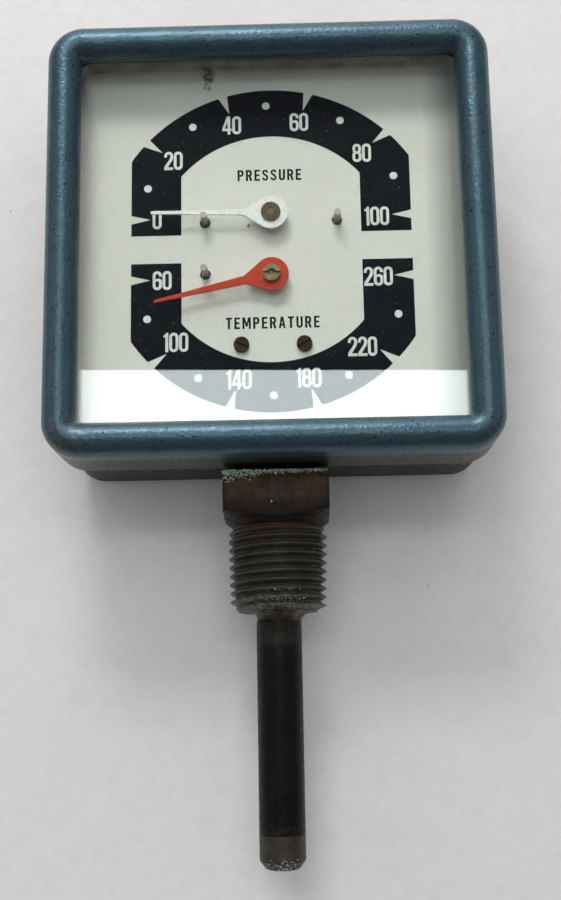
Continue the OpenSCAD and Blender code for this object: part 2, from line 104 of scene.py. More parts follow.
class Look:
    """A Principled material with helpers that work in millimetres of the row frame."""

    def __init__(self, name):
        self.material = bpy.data.materials.new(name)
        self.material.use_nodes = True
        self.tree = self.material.node_tree
        self.shader = self.tree.nodes["Principled BSDF"]
        at = self.add("ShaderNodeTexCoord").outputs["Object"]
        self.mm = self.stretch((1 / MM,) * 3, at)

    def add(self, kind, **props):
        n = self.tree.nodes.new(kind)
        for k, v in props.items():
            setattr(n, k, v)
        return n

    def put(self, value, socket):
        if isinstance(value, bpy.types.NodeSocket):
            self.tree.links.new(value, socket)
        elif hasattr(value, "__len__") and len(value) == 3 and socket.type == "RGBA":
            socket.default_value = (*value, 1)
        else:
            socket.default_value = value

    def stretch(self, scale, vector=None, move=(0, 0, 0)):
        n = self.add("ShaderNodeMapping")
        self.put(vector or self.mm, n.inputs["Vector"])
        n.inputs["Scale"].default_value = scale
        n.inputs["Location"].default_value = move
        return n.outputs["Vector"]

    def clamp(self, value, lo, hi, to=(0, 1)):
        n = self.add("ShaderNodeMapRange")
        self.put(value, n.inputs["Value"])
        for k, v in zip(("From Min", "From Max", "To Min", "To Max"), (lo, hi, *to)):
            n.inputs[k].default_value = v
        return n.outputs["Result"]

    def noise(self, scale, lo=0.0, hi=1.0, to=(0, 1), detail=4.0, vector=None):
        n = self.add("ShaderNodeTexNoise")
        self.put(vector or self.mm, n.inputs["Vector"])
        n.inputs["Scale"].default_value = scale
        n.inputs["Detail"].default_value = detail
        return self.clamp(n.outputs["Fac"], lo, hi, to)

    def specks(self, scale, size, share, vector=None):
        """1 inside scattered round specks: cells of 1/scale mm, size is a share of a cell."""
        n = self.add("ShaderNodeTexVoronoi")
        self.put(vector or self.mm, n.inputs["Vector"])
        n.inputs["Scale"].default_value = scale
        some = self.math("LESS_THAN", self.split(n.outputs["Color"], 0), share)
        near = self.clamp(n.outputs["Distance"], size, size * 0.6)
        return self.times(some, near)

    def split(self, vector, k):
        n = self.add("ShaderNodeSeparateXYZ")
        self.put(vector, n.inputs[0])
        return n.outputs[k]

    def math(self, how, a, b=0.0):
        n = self.add("ShaderNodeMath", operation=how)
        self.put(a, n.inputs[0])
        self.put(b, n.inputs[1])
        return n.outputs[0]

    def times(self, a, b):
        return self.math("MULTIPLY", a, b)

    def plus(self, a, b):
        return self.math("ADD", a, b)

    def depth(self):
        """Distance in front of the thread's axis, towards the viewer."""
        return self.times(self.split(self.mm, 1), -1)

    def mix(self, share, a, b):
        n = self.add("ShaderNodeMix", data_type="RGBA")
        self.put(share, n.inputs[0])
        self.put(a, n.inputs[6])
        self.put(b, n.inputs[7])
        return n.outputs[2]

    def up(self):
        """How far the surface faces +Z, 0 to 1."""
        return self.clamp(self.split(self.add("ShaderNodeNewGeometry").outputs["Normal"], 2), 0, 1)

    def bump(self, height, strength, distance):
        n = self.add("ShaderNodeBump")
        n.inputs["Strength"].default_value = strength
        n.inputs["Distance"].default_value = distance * MM
        self.put(height, n.inputs["Height"])
        if self.shader.inputs["Normal"].is_linked:
            self.put(self.shader.inputs["Normal"].links[0].from_socket, n.inputs["Normal"])
        self.put(n.outputs[0], self.shader.inputs["Normal"])

    def see_through(self, share, colour=(1, 1, 1)):
        """Lets light straight through by a share, in place of the Principled shader."""
        clear = self.add("ShaderNodeBsdfTransparent")
        clear.inputs["Color"].default_value = (*colour, 1)
        pick = self.add("ShaderNodeMixShader")
        self.put(share, pick.inputs[0])
        self.put(self.shader.outputs[0], pick.inputs[1])
        self.put(clear.outputs[0], pick.inputs[2])
        self.put(pick.outputs[0], self.tree.nodes["Material Output"].inputs["Surface"])

    def done(self, colour, rough, metal=0.0, specular=None):
        self.put(colour, self.shader.inputs["Base Color"])
        self.put(rough, self.shader.inputs["Roughness"])
        self.shader.inputs["Metallic"].default_value = metal
        if specular is not None:
            self.shader.inputs["Specular IOR Level"].default_value = specular
        return self.material


def metal(name, colour, other, rough, scale=0.6, metallic=1.0, grain=(1, 1, 1), pits=0.15, end=None,
          specular=0.5):
    """Worked metal: two tones, a fine grain, pits and an uneven polish.

    end is the tarnished colour of the part of it that stands out in front of the dial.
    """
    t = Look(name)
    tone = t.mix(t.noise(scale, 0.35, 0.65), colour, other)
    spots = t.specks(1.3, 0.22, pits)
    tone = t.mix(t.times(spots, 0.6), tone, tuple(0.35 * c for c in colour))
    if end:
        tone = t.mix(t.clamp(t.depth(), DIAL_FACE + 1, DIAL_FACE + 2), tone, end)
    fine = t.noise(5, vector=t.stretch(grain))
    t.bump(fine, 0.25, 0.05)
    return t.done(tone, t.noise(1.7, 0.3, 0.7, (rough - 0.07, rough + 0.1)), metallic, specular)


KNOCKED_CORNER = 43.5   # of the bezel, left of and under the dial's centre
BEAD_BACK = 18.4        # depth of the back edge of the bezel's bead


def hammertone():
    """The bezel's blue coat: flowing cells, dark chips, rubbed spots and one knocked corner."""
    t = Look("blue_hammertone")
    flow = t.noise(0.16, 0.3, 0.7)
    cells = t.add("ShaderNodeTexVoronoi", feature="SMOOTH_F1")
    t.put(t.mm, cells.inputs["Vector"])
    cells.inputs["Scale"].default_value = 1.7
    grain = t.noise(2.6, 0.3, 0.7, detail=5)
    base = t.mix(flow, (0.038, 0.084, 0.118), (0.060, 0.118, 0.154))
    base = t.mix(t.times(grain, 0.4), base, (0.150, 0.222, 0.250))
    base = t.mix(t.times(t.specks(0.95, 0.26, 0.13), 0.9), base, (0.008, 0.010, 0.012))
    rubbed = t.times(t.noise(0.35, 0.62, 0.7), t.specks(2.2, 0.35, 0.35))
    base = t.mix(rubbed, base, (0.22, 0.24, 0.22))
    # The lower left corner is knocked and shows its primer.
    corner = t.add("ShaderNodeVectorMath", operation="LENGTH")
    from_corner = t.stretch((1, 1, 1), move=(KNOCKED_CORNER, 0, KNOCKED_CORNER - DIAL_Z))
    t.put(t.stretch((1, 0.3, 1), from_corner), corner.inputs[0])
    knocked = t.times(t.clamp(corner.outputs["Value"], 11, 4), t.noise(0.9, 0.52, 0.58))
    base = t.mix(knocked, base, (0.20, 0.155, 0.11))
    t.bump(cells.outputs["Distance"], 0.35, 0.12)
    t.bump(grain, 0.4, 0.06)
    t.bump(t.noise(0.07), 0.5, 0.5)
    # Behind its bead the bezel is coloured dark, like the case.
    depth = t.plus(t.depth(), t.noise(0.4, to=(-0.5, 0.5)))
    base = t.mix(t.clamp(depth, BEAD_BACK + 1, BEAD_BACK), base, (0.024, 0.0245, 0.022))
    return t.done(base, t.noise(1.1, 0.3, 0.7, (0.27, 0.42)), 0.72, 0.4)


def case_paint():
    """The case's near-black coat, with dust on what faces up."""
    t = Look("case_paint")
    tone = t.mix(t.noise(0.09, 0.35, 0.65), (0.020, 0.0205, 0.018), (0.032, 0.032, 0.028))
    tone = t.mix(t.times(t.noise(1.2, 0.5, 0.75), 0.5), tone, (0.06, 0.06, 0.052))
    tone = t.mix(t.specks(0.9, 0.22, 0.12), tone, (0.02, 0.018, 0.015))
    dust = t.times(t.up(), t.noise(0.8, 0.4, 0.7, (0.2, 0.7)))
    tone = t.mix(dust, tone, (0.20, 0.19, 0.17))
    t.bump(t.noise(2.4, detail=5), 0.3, 0.06)
    t.bump(t.noise(0.06), 0.6, 0.6)
    return t.done(tone, t.noise(0.7, 0.3, 0.7, (0.45, 0.65)), specular=0.22)


RUST_X, RUST_W = -13.2, 38.6    # the rust spot at the top of the pan, from the dial's centre


def dial_paint():
    """The dial's off-white enamel, with specks, a wall darkened by dirt and painted shade, painted shade
    along the right edge of the flat, and a rust run.
    """
    t = Look("dial_paint")
    tone = t.mix(t.noise(0.05, 0.3, 0.7), (0.63, 0.625, 0.57), (0.59, 0.585, 0.53))
    tone = t.mix(t.noise(0.5, 0.45, 0.9, (0, 0.25)), tone, (0.46, 0.43, 0.37))
    tone = t.mix(t.times(t.specks(0.55, 0.07, 0.35), 0.75), tone, (0.10, 0.09, 0.075))
    tone = t.mix(t.times(t.specks(1.7, 0.09, 0.12), 0.5), tone, (0.22, 0.2, 0.17))
    # The pan's wall is darker, most at its top, where it faces down under the bezel: partly dirt, partly
    # painted shade.
    wall = t.clamp(t.depth(), DIAL_FACE + 0.1, DIAL_FACE + 1.8)
    over = t.clamp(t.split(t.mm, 2), DIAL_Z + 30, DIAL_Z + 36, (0.3, 1))
    dirt_and_painted_shade = t.times(t.times(wall, over), t.noise(0.25, 0.25, 0.7, (0.6, 0.95)))
    tone = t.mix(dirt_and_painted_shade, tone, (0.13, 0.098, 0.092))
    # Painted shade darkens the flat towards its right edge.
    tone = t.mix(t.clamp(t.split(t.mm, 0), 33, 39, (0, 0.9)), tone, (0.20, 0.21, 0.19))
    # The rust spot and its run.
    from_spot = t.stretch((1, 1, 1), move=(-RUST_X, DIAL_FACE + 2, -DIAL_Z - RUST_W))
    stain = t.stretch((0.55, 0.35, 0.3), from_spot)
    length = t.add("ShaderNodeVectorMath", operation="LENGTH")
    t.put(stain, length.inputs[0])
    ragged = t.plus(length.outputs["Value"], t.noise(1.1, 0, 1, (-0.9, 0.9)))
    tone = t.mix(t.clamp(ragged, 1.0, 0.5, (0, 0.9)), tone, (0.095, 0.042, 0.018))
    t.bump(t.noise(3.0), 0.15, 0.03)
    return t.done(tone, t.noise(0.8, 0.3, 0.7, (0.34, 0.5)), specular=0.35)


def printed(name, colour, dust, share):
    """Matt ink with dust specks over a share of it."""
    t = Look(name)
    tone = t.mix(t.noise(0.4, 0.35, 0.65), colour, tuple(1.2 * c for c in colour))
    tone = t.mix(t.times(t.specks(1.0, 0.12, share), 0.75), tone, dust)
    tone = t.mix(t.times(t.specks(2.6, 0.16, share * 0.6), 0.6), tone, dust)
    tone = t.mix(t.times(t.specks(0.33, 0.05, share), 0.8), tone, (0.30, 0.18, 0.10))
    t.bump(t.noise(3.0), 0.15, 0.02)
    return t.done(tone, t.noise(1.3, 0.3, 0.7, (0.5, 0.66)), specular=0.06)


def enamel(name, colour, chip, rough=0.33, specular=0.5):
    """A brushed coat with small chips."""
    t = Look(name)
    tone = t.mix(t.noise(0.9, 0.35, 0.7), colour, tuple(0.82 * c for c in colour))
    tone = t.mix(t.times(t.specks(1.4, 0.17, 0.2), 0.6), tone, chip)
    t.bump(t.noise(4.0), 0.3, 0.03)
    return t.done(tone, t.noise(1.6, 0.3, 0.7, (rough - 0.06, rough + 0.12)), specular=specular)


def patina(name, base, warm, pale, z_warm, z_pale, rough=0.5, metallic=0.25, specular=0.5):
    """Dark bronze, warmer between the two heights of z_warm and dusted pale between those of z_pale."""
    t = Look(name)
    z = t.split(t.mm, 2)

    def between(lo, hi, soft):
        ragged = t.plus(z, t.noise(0.7, 0, 1, (-soft, soft)))
        return t.times(t.clamp(ragged, lo - soft, lo + soft), t.clamp(ragged, hi + soft, hi - soft))

    tone = t.mix(t.noise(0.28, 0.35, 0.65), base, tuple(0.6 * c for c in base))
    tone = t.mix(t.times(between(*z_warm, 0.8), t.noise(0.35, 0.3, 0.65, (0.15, 0.9))), tone, warm)
    tone = t.mix(t.times(between(*z_pale, 1.2), t.noise(1.6, 0.45, 0.7, (0, 0.8))), tone, pale)
    tone = t.mix(t.times(t.specks(1.1, 0.16, 0.16), 0.55), tone, tuple(3.5 * c for c in base))
    t.bump(t.noise(2.2, detail=6), 0.45, 0.08)
    t.bump(t.noise(0.5), 0.35, 0.15)
    return t.done(tone, t.noise(1.0, 0.3, 0.7, (rough - 0.12, rough + 0.12)), metallic, specular)


def crust(name, pale, deep):
    """Matt, crumbling deposits in two tones."""
    t = Look(name)
    tone = t.mix(t.noise(2.2, 0.35, 0.65), pale, deep)
    bright = tuple(min(1, 1.5 * c) for c in pale)
    tone = t.mix(t.times(t.specks(3.0, 0.3, 0.25), 0.8), tone, bright)
    t.bump(t.noise(6.0, detail=6), 0.6, 0.06)
    return t.done(tone, 0.85)


def rubber():
    """The gasket's black rubber."""
    t = Look("gasket_rubber")
    tone = t.mix(t.noise(0.8), (0.018, 0.018, 0.018), (0.035, 0.034, 0.032))
    t.bump(t.noise(4.0), 0.3, 0.04)
    return t.done(tone, t.noise(1.2, 0.3, 0.7, (0.6, 0.8)))


def window():
    """Clear glass, a little smeared, that lets the lamps' light through to the dial."""
    t = Look("window_glass")
    smear = t.times(t.noise(0.08, 0.45, 0.75), t.noise(1.4, 0.3, 0.7))
    t.put(t.clamp(smear, 0, 1, (0.0, 0.012)), t.shader.inputs["Roughness"])
    t.shader.inputs["Base Color"].default_value = (0.97, 0.985, 0.98, 1)
    t.shader.inputs["Transmission Weight"].default_value = 1
    t.shader.inputs["IOR"].default_value = 1.5
    t.see_through(t.add("ShaderNodeLightPath").outputs["Is Shadow Ray"], (0.93, 0.95, 0.94))
    return t.material


BLUE = hammertone()
CASE = case_paint()
DIAL = dial_paint()
PRINT = printed("scale_print", (0.0028, 0.0040, 0.0066), (0.24, 0.25, 0.25), 0.22)
WORD = printed("word_print", (0.006, 0.006, 0.007), (0.12, 0.11, 0.10), 0.06)
MARK = enamel("scale_marks", (0.66, 0.66, 0.62), (0.35, 0.33, 0.3), 0.42)
WHITE = enamel("white_enamel", (0.74, 0.74, 0.70), (0.42, 0.36, 0.3))
RED = enamel("red_enamel", (0.46, 0.050, 0.020), (0.50, 0.26, 0.19), 0.45, 0.12)
BRASS = metal("brass", (0.66, 0.50, 0.24), (0.48, 0.34, 0.15), 0.33)
PALE_BRASS = metal("pale_brass", (0.22, 0.18, 0.09), (0.13, 0.10, 0.05), 0.42, 1.4)
BROWN = metal("brown_brass", (0.085, 0.055, 0.024), (0.035, 0.022, 0.012), 0.5, 1.3, 0.3)
RUST = metal("rusted_screw", (0.022, 0.013, 0.009), (0.045, 0.026, 0.015), 0.6, 1.5, 0.2, pits=0.4,
             specular=0.12)
STEEL = metal("plated_steel", (0.34, 0.33, 0.31), (0.20, 0.19, 0.17), 0.42, 1.0, 0.85)
DULL_END = metal("arbor_brass", (0.66, 0.50, 0.24), (0.48, 0.34, 0.15), 0.42, end=(0.13, 0.10, 0.055))
COPPER = metal("spring_bronze", (0.62, 0.36, 0.20), (0.46, 0.24, 0.12), 0.34, 0.5)
BRONZE = patina("bronze_patina", (0.017, 0.0135, 0.0105), (0.062, 0.030, 0.013), (0.12, 0.13, 0.11),
                (3.5, 9.6), (-19.5, -15.0), 0.5, 0.05, 0.2)
THREAD = patina("thread_patina", (0.050, 0.044, 0.032), (0.075, 0.034, 0.018), (0.17, 0.17, 0.15),
                (-2.4, 0.6), (-19.4, -15.5), 0.42)
TUBE = patina("bulb_film", (0.0055, 0.0052, 0.0046), (0.020, 0.017, 0.013), (0.03, 0.03, 0.028),
              (-26.0, -19.0), (-64.0, -62.5), 0.42, 0.0, 0.2)
TIP = patina("bulb_tip", (0.028, 0.024, 0.019), (0.048, 0.040, 0.030), (0.15, 0.15, 0.14),
             (-70.5, -64.0), (-71.5, -69.4), 0.5)
BRAZE = patina("braze_metal", (0.030, 0.026, 0.018), (0.070, 0.045, 0.022), (0.14, 0.13, 0.11),
               (-21.0, -19.0), (-19.4, -18.9), 0.38)
VERDIGRIS = crust("verdigris", (0.52, 0.58, 0.52), (0.14, 0.26, 0.22))
CHALK = crust("chalk", (0.45, 0.45, 0.42), (0.16, 0.15, 0.13))
LIME = crust("lime", (0.62, 0.63, 0.60), (0.40, 0.40, 0.37))
FLAKE = crust("flake", (0.42, 0.30, 0.13), (0.25, 0.17, 0.08))
RUBBER = rubber()
GLASS = window()

LOOKS = {
    "case": CASE, "bezel": BLUE, "window_glass": GLASS, "glass_gasket": RUBBER, "dial": DIAL,
    "dial_screws": RUST, "dial_posts": BRASS, "pressure_stop_pins": STEEL, "temperature_stop_pin": STEEL,
    "socket": BRONZE, "case_back_screws": STEEL, "braze_collar": BRAZE, "bulb": TUBE, "bulb_plug": TIP,
    "capillary": COPPER, "movement_front_plate": BRASS, "movement_back_plate": BRASS,
    "movement_pillars": BRASS, "movement_nuts": STEEL, "movement_screws": STEEL,
    "pressure_pointer": WHITE, "pressure_pointer_bush": BROWN, "pressure_pinion": DULL_END,
    "pressure_hairspring": COPPER, "pressure_sector": BRASS, "pressure_link": STEEL,
    "pressure_link_pin": STEEL, "pressure_tube": COPPER, "pressure_tube_tip": BRASS,
    "temperature_pointer": RED, "temperature_adjusting_screw": PALE_BRASS, "temperature_pinion": DULL_END,
    "temperature_hairspring": COPPER, "temperature_sector": BRASS, "temperature_link": STEEL,
    "temperature_link_pin": STEEL, "temperature_tube": COPPER, "temperature_tube_tip": BRASS,
}
for name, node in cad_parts.items():
    node.data.materials.clear()
    node.data.materials.append(LOOKS[name])


# ---------- mesh helpers ----------

def skin(name, verts, faces, material, smooth=True):
    """A mesh object from points in metres of the row frame."""
    mesh = bpy.data.meshes.new(name)
    mesh.from_pydata([tuple(v) for v in verts], [], faces)
    mesh.validate()
    mesh.polygons.foreach_set("use_smooth", [smooth] * len(mesh.polygons))
    mesh.materials.append(material)
    obj = bpy.data.objects.new(name, mesh)
    bpy.context.scene.collection.objects.link(obj)
    return obj


def piece(name, verts, faces, material, body="gauge", smooth=True):
    """A skin that rides on a body."""
    obj = skin(name, verts, faces, material, smooth)
    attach(obj, body)
    return obj


def rings(rows, close_low=True, close_high=True):
    """Vertices and faces of a skin through rows of points, each row a closed loop of the same count."""
    n = len(rows[0])
    verts = [p for row in rows for p in row]
    faces = []
    for k in range(len(rows) - 1):
        for i in range(n):
            j = (i + 1) % n
            faces.append((k * n + i, k * n + j, (k + 1) * n + j, (k + 1) * n + i))
    if close_low:
        faces.append(tuple(reversed(range(n))))
    if close_high:
        faces.append(tuple(range((len(rows) - 1) * n, len(rows) * n)))
    return verts, faces


def area(loop):
    """Signed area of an outline, positive when it runs anticlockwise."""
    return sum(a[0] * b[1] - b[0] * a[1] for a, b in zip(loop, loop[1:] + loop[:1])) / 2


class Prints:
    """Thin closed plates on the dial: each shape is an outline and its holes, in face millimetres."""

    def __init__(self, low, high):
        self.low, self.high, self.verts, self.faces = low, high, [], []

    def shape(self, outline, holes=(), at=(0, 0)):
        loops = [outline if area(outline) > 0 else outline[::-1]]
        loops += [h if area(h) < 0 else h[::-1] for h in holes]
        flat = [(x + at[0], y + at[1]) for loop in loops for x, y in loop]
        n, first = len(flat), len(self.verts)
        for depth in (self.low, self.high):
            self.verts += [face(x, y, DIAL_FACE + depth) for x, y in flat]
        for a, b, c in tessellate_polygon([[Vector((x, y, 0)) for x, y in loop] for loop in loops]):
            if area([flat[a], flat[b], flat[c]]) < 0:
                a, c = c, a
            self.faces.append((first + n + a, first + n + b, first + n + c))
            self.faces.append((first + c, first + b, first + a))
        start = 0
        for loop in loops:
            m = len(loop)
            for i in range(m):
                a, b = start + i, start + (i + 1) % m
                self.faces.append((first + a, first + b, first + n + b, first + n + a))
            start += m

    def make(self, name, material):
        return piece(name, self.verts, self.faces, material, smooth=False)


# ---------- scale print ----------

SIDE, INNER_SIDE = 29.92, 19.2          # half widths of a band, outside and inside
OUTER_R, INNER_R = 36.1, 25.3
BAND_END = 3.12                         # height of a band's ends over the dial's centre
SIDE_STEPS = 16                         # points up each straight side, 1 mm apart
NOTCH_MOUTH, NOTCH_DEEP = 0.98, 4.1     # half width and depth of the notch at a number
DOT_IN, DOT_R = 3.65, 0.83              # place of a dot in from the edge, and its radius


def arc_points(cx, cy, rx, ry, a0, a1, n=8):
    """Points of an ellipse from one angle to another, in degrees."""
    return [(cx + rx * math.cos(math.radians(a0 + (a1 - a0) * k / n)),
             cy + ry * math.sin(math.radians(a0 + (a1 - a0) * k / n))) for k in range(n + 1)]


def edge_hit(side, radius, axis, a):
    """Where a ray from the pointer's axis, a degrees over the left horizontal, leaves the band."""
    ux, uy = -math.cos(math.radians(a)), math.sin(math.radians(a))
    b = axis * uy
    reach = -b + math.sqrt(b * b - axis * axis + radius * radius)
    if abs(ux) > 1e-9:
        reach = min(reach, side / abs(ux))
    return reach, (ux, uy)


def band(prints, marks, sign, ticks, dots):
    """One scale. sign is 1 for the upper one and -1 for its mirror image below."""
    start = math.degrees(math.acos(SIDE / OUTER_R))
    outline = [(-SIDE, BAND_END + k) for k in range(SIDE_STEPS + 1)]
    outline += arc_points(0, 0, OUTER_R, OUTER_R, 180 - start, start, 160)
    outline += [(SIDE, BAND_END + k) for k in range(SIDE_STEPS, -1, -1)]
    for a in ticks:
        reach, (ux, uy) = edge_hit(SIDE, OUTER_R, AXIS_W, a)
        hit = (ux * reach, AXIS_W + uy * reach)
        tip = (ux * (reach - NOTCH_DEEP), AXIS_W + uy * (reach - NOTCH_DEEP))
        gap = [math.dist(p, hit) < NOTCH_MOUTH for p in outline]
        if any(gap):
            first, last = gap.index(True), len(gap) - 1 - gap[::-1].index(True)
        else:
            first = min(range(1, len(outline)), key=lambda k: math.dist(outline[k], hit)
                        + math.dist(outline[k - 1], hit))
            last = first - 1
        before, after = outline[first - 1], outline[last + 1]

        def toward(p):
            part = NOTCH_MOUTH / math.dist(p, hit)
            return (hit[0] + (p[0] - hit[0]) * part, hit[1] + (p[1] - hit[1]) * part)

        outline = outline[:first] + [toward(before), tip, toward(after)] + outline[last + 1:]
    inner = math.degrees(math.acos(INNER_SIDE / INNER_R))
    outline += [(INNER_SIDE, BAND_END)] + arc_points(0, 0, INNER_R, INNER_R, inner, 180 - inner, 96)
    outline += [(-INNER_SIDE, BAND_END)]
    prints.shape([(x, sign * y) for x, y in outline])
    for a in dots:
        reach, (ux, uy) = edge_hit(SIDE, OUTER_R, AXIS_W, a)
        at = (ux * (reach - DOT_IN), sign * (AXIS_W + uy * (reach - DOT_IN)))
        marks.shape(arc_points(0, 0, DOT_R, DOT_R, 0, 345, 23), at=at)


def stadium(x0, y0, x1, y1, r, n=6):
    """A rectangle with rounded corners."""
    return (arc_points(x1 - r, y0 + r, r, r, -90, 0, n) + arc_points(x1 - r, y1 - r, r, r, 0, 90, n)
            + arc_points(x0 + r, y1 - r, r, r, 90, 180, n) + arc_points(x0 + r, y0 + r, r, r, 180, 270, n))


def ribbon(path, width):
    """The outline of a stroke along a path."""
    left, back = [], []
    for k, (x, y) in enumerate(path):
        a, b = path[max(0, k - 1)], path[min(len(path) - 1, k + 1)]
        d = math.dist(a, b)
        nx, ny = -(b[1] - a[1]) / d * width / 2, (b[0] - a[0]) / d * width / 2
        left.append((x + nx, y + ny))
        back.append((x - nx, y - ny))
    return left + back[::-1]


STROKE = 0.60           # of a digit
WIDE, TALL = 1.95, 4.2  # a digit's width and height
DIGITS = {
    "0": (WIDE, [stadium(0, 0, WIDE, TALL, 0.95),
                 stadium(STROKE, STROKE, WIDE - STROKE, TALL - STROKE, 0.37)]),
    "1": (1.28, [[(0.62, 0), (1.22, 0), (1.22, TALL), (0.78, TALL), (0.58, 3.82), (0.2, 3.6), (0.2, 3.16),
                  (0.62, 3.26)]]),
    "2": (WIDE, [[(0, 0), (WIDE, 0), (WIDE, STROKE), (0.78, STROKE), (1.15, 1.25), (1.7, 2.1), (WIDE, 2.75)]
                 + arc_points(1.0, 3.25, 0.95, 0.95, 0, 180, 12)
                 + [(0, 2.92), (STROKE, 2.92)] + arc_points(0.975, 3.25, 0.36, 0.38, 180, 0, 8)
                 + [(1.32, 2.82), (1.12, 2.35), (0.6, 1.55), (0.08, 0.8)]]),
    "4": (2.0, [[(1.1, 0), (1.7, 0), (1.7, 0.82), (2.0, 0.82), (2.0, 1.36), (1.7, 1.36), (1.7, TALL),
                 (1.0, TALL), (0, 1.42), (0, 0.82), (1.1, 0.82)], [(1.1, 1.36), (0.52, 1.36), (1.1, 2.95)]]),
    "6": (WIDE, [[(WIDE, 2.98)] + arc_points(0.975, 3.25, 0.975, 0.95, 0, 180, 12)
                 + arc_points(0.975, 0.95, 0.975, 0.95, 180, 360, 12)
                 + arc_points(1.15, 1.85, 0.8, 0.72, 0, 90, 5) + [(0.85, 2.5), (STROKE, 2.36)]
                 + arc_points(0.975, 3.25, 0.375, 0.36, 180, 0, 8) + [(WIDE - STROKE, 2.98)],
                 stadium(STROKE, STROKE, WIDE - STROKE, 2.0, 0.37)]),
    "8": (WIDE, [arc_points(0.975, 0.95, 0.975, 0.95, 180, 360, 12)
                 + [(WIDE, 1.7), (1.88, 2.0), (1.68, 2.2), (1.82, 2.42), (1.88, 2.7)]
                 + arc_points(0.975, 3.3, 0.9, 0.9, 0, 180, 12)
                 + [(0.07, 2.7), (0.13, 2.42), (0.27, 2.2), (0.07, 2.0), (0, 1.7)],
                 stadium(STROKE, STROKE, WIDE - STROKE, 1.92, 0.35),
                 stadium(0.07 + STROKE, 2.47, 1.88 - STROKE, TALL - STROKE, 0.3)]),
}
DIGIT_GAP = 0.13

BOWL = [(0.46, 1.42), (0.68, 1.42), (0.84, 1.56), (0.86, 1.78), (0.84, 1.99), (0.68, 2.13), (0.46, 2.13)]
LETTERS = {
    "P": (1.34, [[(0, 0), (0.46, 0), (0.46, 1.02), (0.78, 1.02), (1.08, 1.13), (1.27, 1.38), (1.33, 1.78),
                  (1.27, 2.18), (1.08, 2.44), (0.78, 2.55), (0, 2.55)], BOWL]),
    "R": (1.38, [[(0, 0), (0.46, 0), (0.46, 1.02), (0.62, 1.02), (0.9, 0), (1.38, 0), (1.06, 1.12),
                  (1.27, 1.38), (1.33, 1.78), (1.27, 2.18), (1.08, 2.44), (0.78, 2.55), (0, 2.55)], BOWL]),
    "E": (1.2, [[(0, 0), (1.2, 0), (1.2, 0.42), (0.46, 0.42), (0.46, 1.08), (1.08, 1.08), (1.08, 1.5),
                 (0.46, 1.5), (0.46, 2.13), (1.2, 2.13), (1.2, 2.55), (0, 2.55)]]),
    "S": (1.34, [ribbon([(1.09, 1.83), (1.05, 2.1), (0.9, 2.28), (0.67, 2.34), (0.43, 2.28), (0.26, 2.11),
                         (0.24, 1.87), (0.32, 1.63), (0.54, 1.42), (0.8, 1.21), (1.02, 0.98), (1.1, 0.7),
                         (1.05, 0.44), (0.9, 0.27), (0.67, 0.21), (0.43, 0.27), (0.27, 0.45),
                         (0.22, 0.74)], 0.43)]),
    "U": (1.34, [ribbon([(0.23, 2.55), (0.23, 0.8)] + arc_points(0.67, 0.68, 0.44, 0.46, 180, 360, 12)
                        + [(1.11, 0.8), (1.11, 2.55)], 0.46)]),
    "T": (1.3, [[(0.42, 0), (0.88, 0), (0.88, 2.13), (1.3, 2.13), (1.3, 2.55), (0, 2.55), (0, 2.13),
                 (0.42, 2.13)]]),
    "M": (1.78, [[(0, 0), (0.43, 0), (0.43, 1.55), (0.73, 0.5), (1.05, 0.5), (1.35, 1.55), (1.35, 0),
                  (1.78, 0), (1.78, 2.55), (1.24, 2.55), (0.89, 1.25), (0.54, 2.55), (0, 2.55)]]),
    "A": (1.42, [[(0, 0), (0.42, 0), (0.52, 0.55), (0.9, 0.55), (1.0, 0), (1.42, 0), (0.97, 2.55),
                  (0.45, 2.55)], [(0.6, 0.95), (0.82, 0.95), (0.71, 1.75)]]),
}


def write(prints, glyphs, word, centre, gap):
    """Prints a word about its centre, with a gap between its glyphs."""
    width = sum(glyphs[c][0] for c in word) + gap * (len(word) - 1)
    height = max(y for c in word for x, y in glyphs[c][1][0])
    left = centre[0] - width / 2
    for c in word:
        step, loops = glyphs[c]
        prints.shape(loops[0], loops[1:], at=(left, centre[1] - height / 2))
        left += step + gap


PAINT, PAINT_GAP = 0.02, 0.005          # a coat of print, and the gap under it
FIRST_STEP, NEXT_STEP = 15, 18.333      # degrees to the pressure scale's first mark, then between marks
NUMBER_STEP = 36                        # degrees between the numbers of the temperature scale
bands = Prints(PAINT_GAP, PAINT)
marks = Prints(PAINT + PAINT_GAP, 2 * PAINT)
words = Prints(PAINT_GAP, PAINT)
pressure_at = [0] + [FIRST_STEP + NEXT_STEP * k for k in range(10)]
band(bands, marks, 1, pressure_at[0::2], pressure_at[1::2])
band(bands, marks, -1, [NUMBER_STEP * k for k in range(6)], [NUMBER_STEP * (k + 0.5) for k in range(5)])
for text, x, w in [("0", -24.4, 6.75), ("20", -20.9, 20.2), ("40", -8.2, 28.1), ("60", 6.4, 28.5),
                   ("80", 19.8, 21.0), ("100", 22.5, 6.5), ("60", -23.3, -6.9), ("100", -20.5, -20.55),
                   ("140", -7.3, -28.9), ("180", 7.25, -28.8), ("220", 18.7, -22.3), ("260", 22.5, -7.0)]:
    write(marks, DIGITS, text, (x, w), DIGIT_GAP)
write(words, LETTERS, "PRESSURE", (-0.2, 16.4), 0.46)
write(words, LETTERS, "TEMPERATURE", (0.0, -16.7), 0.49)
bands.make("scale_bands", PRINT)
marks.make("scale_marks", MARK)
words.make("scale_words", WORD)


# ---------- socket ----------

def lump(p, size, amount):
    """A wandering offset at a point in millimetres."""
    return noise.noise(Vector(p) / size) * amount


def polar(r, a, z):
    """A point at a radius, angle and height about the thread's axis."""
    return Vector((r * math.cos(a), r * math.sin(a), z))


def ring(r, z, n, way=1):
    """A level ring of n points, in metres."""
    return [polar(r, way * TAU * i / n, z) * MM for i in range(n)]


def steps(low, high, n):
    """n + 1 even steps from low to high."""
    return [low + (high - low) * k / n for k in range(n + 1)]


